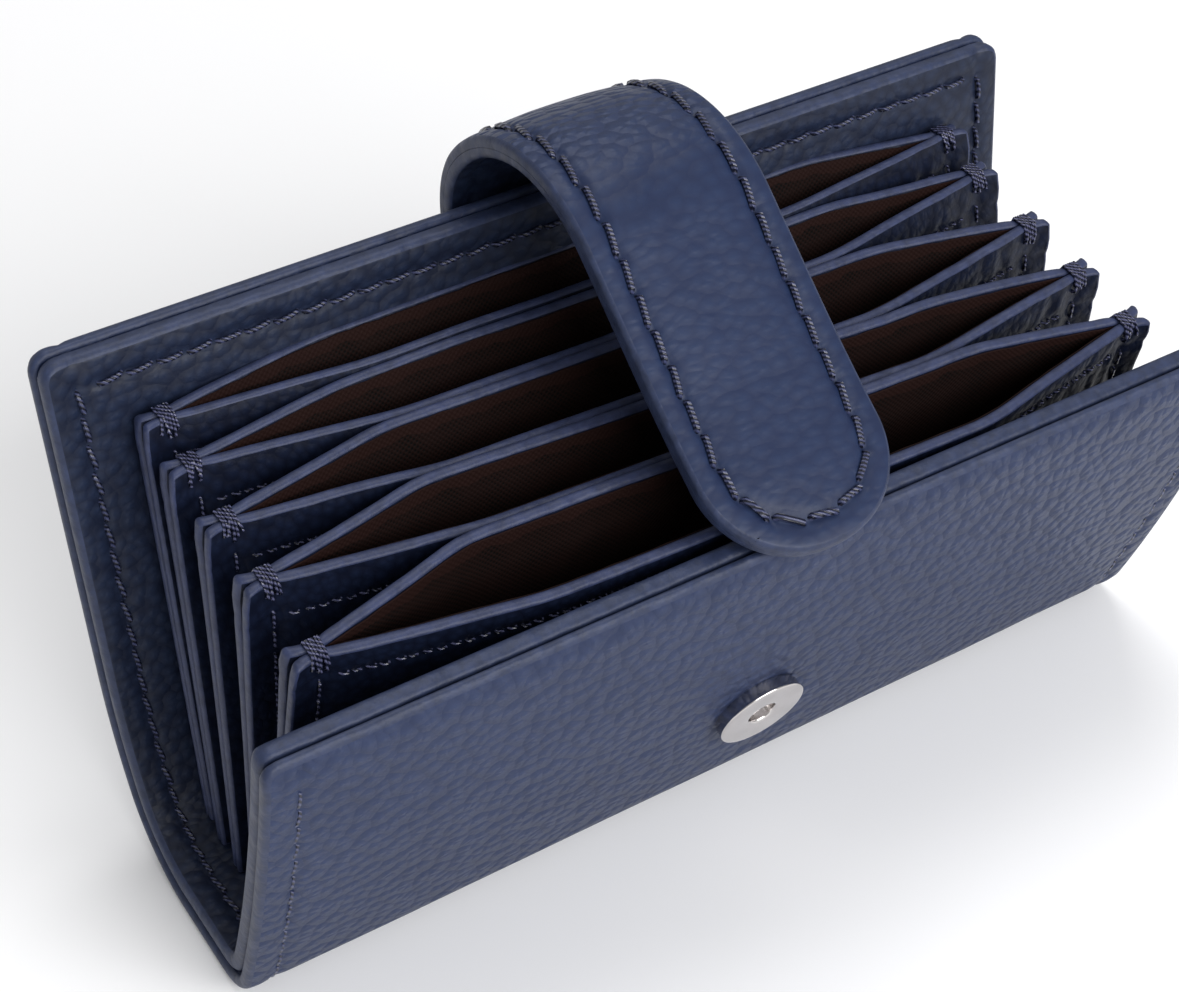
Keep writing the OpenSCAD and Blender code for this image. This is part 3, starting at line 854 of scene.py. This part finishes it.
def sleeve_wall(i, side, label):
    """One wall of thin leather, with a sunk hem line, tucks by its right seam and a rounded edge."""
    depth = sleeve_depth(i)
    hem = HEM_DROP[i]
    xs = lines(-SLEEVE_HALF, SLEEVE_HALF, 1.5 * MM,
               [(-SEAM_X, 3.4 * MM, 0.55 * MM), (SEAM_X - 2 * MM, 5.4 * MM, 0.45 * MM)])
    ys = lines(0, depth, 2.2 * MM, [(depth - hem, 1.6 * MM, 0.4 * MM)])
    word = "back" if side == BACK else "front"
    piece = cut_sheet(f"sleeve_{i + 1}_{word}_leather", xs, ys, WALL_T, WALL_ROUND,
                      [SHADED_SLEEVE_LEATHER, SLEEVE_EDGE], corners=(0, 0.8 * MM))

    def place(x, z, t):
        outer = t / WALL_T
        dip = 0.18 * MM * bell(depth - z - hem, 0.5 * MM)
        seam = 0.30 * MM * bell(np.abs(x) - SEAM_X - 0.6 * MM, 0.9 * MM)
        near_seam = bell(np.abs(x) - SEAM_X + 4 * MM, 6 * MM)
        crumple = 0.10 * MM * ripple(x, z, 90 + i * 2 + side, 4 * MM) * near_seam
        tucks = ripple(x * 2.4, z * 0.8, 110 + i * 2 + side, 5 * MM) * bell(x - SEAM_X + 2.5 * MM, 5 * MM)
        crumple = crumple + 0.30 * MM * tucks * np.clip((depth - z) / (2.5 * MM), 0, 1)
        out = wall_inner(x, z, i, side) + outer * (wall_thickness(z, i) + crumple - dip - seam)
        return stand(i, splay(x, z, i), middle_line(x, z, i) + side * out, raised(x, z, i, side))

    shape(piece, place)
    finish_piece(piece, f"sleeve_{i + 1}")
    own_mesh(piece)
    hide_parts(f"sleeve_{i + 1}_{label}")
    return piece


def sleeve_cloth(i):
    """The woven lining, folded round the sleeve's foot and up both walls."""
    depth = sleeve_depth(i)
    reach = depth - CLOTH_TOP - CLOTH_FOOT
    length = 2 * reach
    xs = lines(-CLOTH_HALF, CLOTH_HALF, 1.5 * MM)
    ys = lines(0, length, 1.8 * MM)
    piece = cut_sheet(f"sleeve_{i + 1}_cloth", xs, ys, CLOTH_T, 0, [POCKET_CLOTH])

    def place(x, s, t):
        back = s < reach
        z = np.where(back, depth - CLOTH_TOP - s, CLOTH_FOOT + s - reach)
        top = np.clip(1 - (depth - CLOTH_TOP - z) / (2 * MM), 0, 1)
        z = z - top * 0.14 * MM * (1 + ripple(x, 0 * x, 130 + i, 1.8 * MM))
        opening = np.where(back, wall_inner(x, z, i, BACK), wall_inner(x, z, i, FRONT)) - TOUCH
        loose = np.clip(opening / (1.2 * MM), 0, 1) * (1 - top)
        slack = 0.22 * MM * (1 + ripple(x, s, 160 + i, 7 * MM)) * loose
        off = np.minimum(0.06 * MM + (CLOTH_T - t) + slack, opening * 0.8)
        turn = np.clip((s - reach) / (2 * MM), -1, 1)
        across = np.where(back, 1, -1) * np.maximum(opening - off, 0) * np.abs(turn) ** 0.5
        across = across + middle_line(x, z, i)
        z = np.where(back, raised(x, z, i, BACK), raised(x, z, i, FRONT))
        return stand(i, splay(x, z, i), across, z + (CLOTH_T - t) * (1 - np.abs(turn)))

    shape(piece, place)
    finish_piece(piece, f"sleeve_{i + 1}")
    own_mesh(piece)
    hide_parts(f"sleeve_{i + 1}_lining")


def sleeve_threads(i):
    """Hem stitches below both walls' top edges, the side seams and the tacks over the corners."""
    depth = sleeve_depth(i)
    draw = random.Random(300 + i)
    runs = []

    def lay(x, z, up, side):
        x, z, up = np.array(x), np.array(z), np.array(up)
        out = wall_inner(x, z, i, side) + wall_thickness(z, i) + up
        across = middle_line(x, z, i) + side * out
        return list(zip(*stand(i, splay(x, z, i), across, raised(x, z, i, side))))

    for side in (BACK, FRONT):
        count = int((SEAM_X - HEM_START) / HEM_PITCH)
        for k in range(-count, count):
            x0 = k * HEM_PITCH + draw.uniform(-0.1, 0.1) * MM
            z = depth - HEM_DROP[i] + draw.uniform(-0.08, 0.08) * MM
            up = draw.uniform(-0.03, 0.10) * MM
            x = [x0, x0 + 0.2 * MM, x0 + HEM_PITCH - 0.6 * MM, x0 + HEM_PITCH - 0.4 * MM]
            runs.append(lay(x, [z] * 4, [-0.35 * MM, up, up, -0.35 * MM], side))
        for end in (-1, 1):
            for k in range(int((depth - 8 * MM) / SIDE_STITCH)):
                z0 = depth - 3.6 * MM - k * SIDE_STITCH
                z = [z0, z0 - 0.3 * MM, z0 - 1.9 * MM, z0 - 2.2 * MM]
                at = end * (SEAM_X + 0.6 * MM)
                runs.append(lay([at] * 4, z, [-0.5 * MM, -0.12 * MM, -0.12 * MM, -0.5 * MM], side))
    for end in (-1, 1):
        for k in range(TACK_COUNT):
            x = end * (SEAM_X + TACK_START + k * TACK_STEP)
            lean = draw.uniform(-0.45, 0.45) * MM
            drop = draw.uniform(1.1, 2.3) * MM
            puff = draw.uniform(0.02, 0.22) * MM
            outline = []
            for side, z, up in ((FRONT, depth - drop, -0.3 * MM), (FRONT, depth - drop + 0.3 * MM, puff),
                                (FRONT, depth - 0.9 * MM, puff), (FRONT, depth + 0.25 * MM, -0.35 * MM),
                                (BACK, depth + 0.25 * MM, -0.35 * MM), (BACK, depth - 0.9 * MM, puff),
                                (BACK, depth - drop + 0.3 * MM, puff), (BACK, depth - drop, -0.3 * MM)):
                shift = lean * (1 if side == FRONT else -1) * (depth - z) / drop
                outline += lay([x + shift], [z], [up], side)
            runs.append(outline)
    piece = threads(f"sleeve_{i + 1}_threads", runs, SLEEVE_THREAD_D, GLINTING_HEM_THREAD)
    finish_piece(piece, f"sleeve_{i + 1}")
    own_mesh(piece)
    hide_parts(f"sleeve_{i + 1}_bar_tacks")


for i in range(SLEEVE_COUNT):
    walls = [sleeve_wall(i, BACK, "back_wall"), sleeve_wall(i, FRONT, "front_wall")]
    sleeve_cloth(i)
    sleeve_threads(i)


# ---- strap

back_foot_s = COVER_RUN - BACK_LEN
foot_s = back_foot_s + STRAP_FOOT_SHARE * BACK_LEN
foot_y, foot_z = on_path(COVER_PATH, np.array([foot_s]), np.array([-STRAP_LIFT]))
back_heading = math.degrees(COVER_PATH[-1, 3])
STRAP_LEGS = [(STRAP_SEWN, 0)] + [(arc(r, turn), turn) for r, turn in STRAP_BENDS]
STRAP_LEGS += [(TONGUE_LEN / 3, 0), (TONGUE_LEN * 2 / 3, TONGUE_CURL)]
STRAP_PATH = walk(STRAP_LEGS, (float(foot_y[0]), float(foot_z[0]), back_heading))
STRAP_RUN = STRAP_PATH[-1, 0]
STRAP_HALF = STRAP_W / 2
TIP_R = STRAP_HALF - 0.6 * MM
STRAP_INSET = 2.7 * MM
STRAP_PITCH = 3.5 * MM


def strap_rim(x, s):
    """Distance in from the strap's outline, round its end as well."""
    side = STRAP_HALF - np.abs(x)
    end = STRAP_RUN - s
    cx = np.maximum(np.abs(x) - (STRAP_HALF - TIP_R), 0)
    cs = np.maximum(s - (STRAP_RUN - TIP_R), 0)
    tip = TIP_R - np.hypot(cx, cs)
    inner = np.where((cs > 0) & (cx > 0), tip, np.minimum(side, np.where(cs > 0, end, side)))
    return np.minimum(inner, s + 3 * MM)


# The steps along the strap's seam, in degrees round its end and in metres along its sides, where
# the seam begins, and how far the strap's edge is rounded.
ARC_STEP = 3
OUTLINE_STEP = 0.25 * MM
STRAP_SEAM_END = 1.6 * MM
STRAP_ROUND = 0.45 * MM


def strap_outline():
    """Points round the strap's seam, up one side, round its end and down the other."""
    points = []
    x_in = STRAP_HALF - STRAP_INSET
    r_in = TIP_R - STRAP_INSET
    straight = STRAP_RUN - TIP_R
    for s in np.arange(STRAP_SEAM_END, straight, OUTLINE_STEP):
        points.append((-x_in, s))
    for k in range(0, 91, ARC_STEP):
        a = math.radians(k)
        points.append((-(STRAP_HALF - TIP_R) - r_in * math.cos(a), straight + r_in * math.sin(a)))
    for k in range(90, -1, -ARC_STEP):
        a = math.radians(k)
        points.append(((STRAP_HALF - TIP_R) + r_in * math.cos(a), straight + r_in * math.sin(a)))
    for s in np.arange(straight, STRAP_SEAM_END, -OUTLINE_STEP):
        points.append((x_in, s))
    return np.array(points)


def seam_stations(outline, pitch):
    """The places of the needle holes along an outline."""
    steps = np.hypot(*np.diff(outline, axis=0).T)
    travelled = np.concatenate([[0], np.cumsum(steps)])
    count = max(1, round(travelled[-1] / pitch))
    at = np.linspace(0, travelled[-1], count + 1)
    return np.column_stack([np.interp(at, travelled, outline[:, axis]) for axis in (0, 1)])


strap_holes = seam_stations(strap_outline(), STRAP_PITCH)
foot_holes = seam_stations(np.array([strap_holes[-1], strap_holes[0]]), STRAP_PITCH)


def hole_dip(x, s, holes, width, depth):
    """How far the leather sinks at needle holes."""
    total = np.zeros_like(x)
    for hx, hs in holes:
        total = np.maximum(total, depth * bell(np.hypot(x - hx, s - hs), width))
    return total


def strap_layer(name, material, low, thick, domed, way):
    """One layer of the strap; way is 1 where its free face is outward and -1 where it is underneath."""
    xs = lines(-STRAP_HALF, STRAP_HALF, 0.9 * MM,
               [(v, FINE_REACH, FINE_GRID) for v in (-STRAP_HALF + STRAP_INSET, STRAP_HALF - STRAP_INSET)])
    ys = lines(0, STRAP_RUN, 0.6 * MM)
    piece = cut_sheet(name, xs, ys, thick, STRAP_ROUND, [material, EDGE_PAINT], corners=(0.6 * MM, TIP_R),
                      segments=4)

    def place(x, s, t):
        free = t / thick if way > 0 else 1 - t / thick
        joined = np.interp(free * thick, [0, STRAP_ROUND, thick], [0, 0.02 * MM, thick])
        free = joined / thick
        t = joined if way > 0 else thick - joined
        rim = strap_rim(x, s)
        dip = 0.24 * MM * bell(rim - STRAP_INSET, 0.7 * MM)
        dip = dip + hole_dip(x, s, np.vstack([strap_holes, foot_holes]), 0.45 * MM, 0.40 * MM)
        roll = 0.30 * MM * np.clip(1 - rim / (1.9 * MM), 0, 1) ** 2
        dome = domed * np.clip((rim - STRAP_INSET) / (4 * MM), 0, 1) ** 0.7
        swell = 0.07 * MM * ripple(x, s, 21, 9 * MM) * np.clip(rim / (3 * MM), 0, 1)
        lift = low + t + way * free * (dome + swell - dip - roll)
        y, z = on_path(STRAP_PATH, s, -lift)
        return x, y, z

    shape(piece, place)
    finish_piece(piece)
    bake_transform(piece)
    return piece


strap_top = strap_layer("strap_top", STRAP_LEATHER, STRAP_LAYER + 0.01 * MM, STRAP_LAYER, 0.35 * MM, 1)
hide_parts("strap_top_leather", "strap_anchor")
strap_under = strap_layer("strap_underside", SHADED_LINING_LEATHER, 0, STRAP_LAYER, 0, -1)
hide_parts("strap_lining_leather")


def strap_seam(name, level, way):
    """The stitches all round the strap and across its foot, on the face at level."""
    draw = random.Random(name)
    runs = []
    stations = np.vstack([strap_holes, foot_holes[1:]])
    for (x0, s0), (x1, s1) in zip(stations[:-1], stations[1:]):
        rise = draw.uniform(0.0, 0.14) * MM
        points = stitch_points(x0, s0, x1, s1, rise=rise, slant=draw.uniform(0.12, 0.26) * MM)
        x, s, up = np.array(points).T
        y, z = on_path(STRAP_PATH, s, -(level + way * up))
        runs.append(list(zip(x, y, z)))
    piece = threads(name, runs, STRAP_THREAD_D)
    finish_piece(piece)
    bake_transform(piece)
    return piece


strap_top_seam = strap_seam("strap_top_seam", 2 * STRAP_LAYER + STRAP_GAP - 0.05 * MM, 1)
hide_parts("strap_stitching")


# ---- snap

def spun(name, outline, place, material, steps=72):
    """A round piece spun from its half outline of (radius, height), then set in its place."""
    deselect()
    bpy.ops.mesh.primitive_plane_add(size=1)
    piece = bpy.context.active_object
    piece.name = name
    bpy.ops.object.mode_set(mode="EDIT")
    bpy.ops.mesh.select_all(action="SELECT")
    bpy.ops.mesh.delete(type="VERT")
    bpy.ops.object.mode_set(mode="OBJECT")
    mesh = piece.data
    mesh.vertices.add(len(outline))
    mesh.vertices.foreach_set("co", [v for r, h in outline for v in (r, 0, h)])
    mesh.edges.add(len(outline) - 1)
    mesh.edges.foreach_set("vertices", [v for k in range(len(outline) - 1) for v in (k, k + 1)])
    mesh.update()
    bpy.ops.object.mode_set(mode="EDIT")
    bpy.ops.mesh.select_all(action="SELECT")
    bpy.ops.mesh.spin(steps=steps, angle=2 * math.pi, center=(0, 0, 0), axis=(0, 0, 1))
    bpy.ops.mesh.select_all(action="SELECT")
    bpy.ops.mesh.remove_doubles(threshold=0.002 * MM)
    bpy.ops.mesh.normals_make_consistent(inside=False)
    bpy.ops.object.mode_set(mode="OBJECT")
    mesh.transform(place)
    mesh.materials.append(material)
    smooth(piece, 40)
    return piece


def seat(centre, up):
    """A matrix that stands +Z along up at centre."""
    return Matrix.Translation(centre) @ Vector(up).to_track_quat("Z", "Y").to_matrix().to_4x4()


snap_heading = math.radians(FRONT_TOP_HEADING + FRONT_BOW * SNAP_S / FRONT_LEN)
snap_y, snap_z = on_path(COVER_PATH, np.array([SNAP_S]), np.array([-0.02 * MM]))
snap_out = (0, math.sin(snap_heading), -math.cos(snap_heading))
snap_place = seat((0, float(snap_y[0]), float(snap_z[0])), snap_out)
# The ring stands lower than its outline is drawn.
SNAP_STAND = 0.8
SOCKET_OUTLINE = [(r * MM, h * SNAP_STAND * MM) for r, h in (
    (4.70, -0.25), (4.76, 0.0), (4.80, 0.1), (4.80, 1.10), (4.84, 1.22), (4.90, 1.32), (4.90, 1.44),
    (4.85, 1.54), (4.76, 1.60), (4.62, 1.63), (4.3, 1.64), (3.2, 1.63), (2.2, 1.60), (1.85, 1.56),
    (1.66, 1.46), (1.56, 1.30), (1.54, 1.1), (1.54, 0.35), (1.48, 0.2), (1.2, 0.14), (0.6, 0.2),
    (0.0, 0.24))]
socket = spun("snap_socket", SOCKET_OUTLINE + [(0.0, -0.25 * MM)], snap_place, NICKEL)
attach(socket, "front_panel")
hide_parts("socket_rim")

stud_s = STRAP_RUN - TONGUE_LEN / 3
stud_y, stud_z = on_path(STRAP_PATH, np.array([stud_s]), np.array([0.05 * MM]))
stud_heading = float(np.interp(stud_s, STRAP_PATH[:, 0], STRAP_PATH[:, 3]))
stud_out = (0, -math.sin(stud_heading), math.cos(stud_heading))
stud_place = seat((0, float(stud_y[0]), float(stud_z[0])), stud_out)
STUD_OUTLINE = [(r * MM, h * MM) for r, h in (
    (0.0, -0.1), (4.75, -0.1), (4.86, 0.05), (4.88, 0.45), (4.80, 0.66), (4.6, 0.76), (4.2, 0.8),
    (2.4, 0.8), (1.75, 0.82), (1.46, 0.95), (1.38, 1.15), (1.40, 1.5), (1.46, 1.72), (1.40, 1.88),
    (1.15, 1.98), (0.6, 2.01), (0.0, 2.02))]
stud = spun("snap_stud", STUD_OUTLINE, stud_place, NICKEL)
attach(stud, "strap")
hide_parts("stud_plate", "stud_post")

for name, material in (("back_board", BOARD), ("front_board", BOARD), ("socket_magnet", STEEL),
                       ("socket_rivet", STEEL), ("stud_washer", STEEL)):
    node = frame["nodes"][name]
    node.data.materials.clear()
    node.data.materials.append(material)


# ---- floor, light and camera

def pale_floor():
    """The floor, pale and matt, just under z = 0."""
    deselect()
    bpy.ops.mesh.primitive_plane_add(size=6, location=(0, 0, -0.02 * MM))
    floor = bpy.context.active_object
    floor.name = "floor"
    material, nodes, links, shader = new_material("pale floor")
    shader.inputs["Base Color"].default_value = (0.93, 0.93, 0.94, 1)
    shader.inputs["Roughness"].default_value = 0.9
    shader.inputs["Specular IOR Level"].default_value = 0.1
    floor.data.materials.append(material)


def soft_light(name, place, target, size, power):
    """A rectangular light at place, turned to target."""
    data = bpy.data.lights.new(name, "AREA")
    data.shape = "RECTANGLE"
    data.size, data.size_y = size
    data.energy = power
    light = bpy.data.objects.new(name, data)
    light.location = place
    light.rotation_euler = (Vector(target) - Vector(place)).to_track_quat("-Z", "Y").to_euler()
    bpy.context.scene.collection.objects.link(light)


WORLD_LIGHT = 0.43
KEY_POWER = 8.6
TOP_POWER = 3.3
CAMERA_LENS = 71.24
CAMERA_PLACE = (-0.1034, -0.1470, 0.1847)
CAMERA_DOWN = 40.18
CAMERA_HEADING = -32.325

pale_floor()
world = bpy.data.worlds.new("studio")
world.use_nodes = True
background = world.node_tree.nodes["Background"]
background.inputs[0].default_value = (1.0, 1.0, 1.0, 1)
background.inputs[1].default_value = WORLD_LIGHT
bpy.context.scene.world = world
soft_light("key", (0.10, -0.75, 0.50), (0, 0, 0.02), (0.8, 0.5), KEY_POWER)
soft_light("top", (0.15, 0.25, 0.9), (0, 0, 0.03), (0.5, 0.5), TOP_POWER)
bpy.context.scene.view_settings.view_transform = "Standard"

camera_data = bpy.data.cameras.new("camera")
camera_data.lens = CAMERA_LENS
camera_data.sensor_width = 36
camera_data.clip_start = 0.01
camera = bpy.data.objects.new("camera", camera_data)
camera.location = CAMERA_PLACE
camera.rotation_euler = (math.radians(90 - CAMERA_DOWN), 0, math.radians(CAMERA_HEADING))
bpy.context.scene.collection.objects.link(camera)
bpy.context.scene.camera = camera
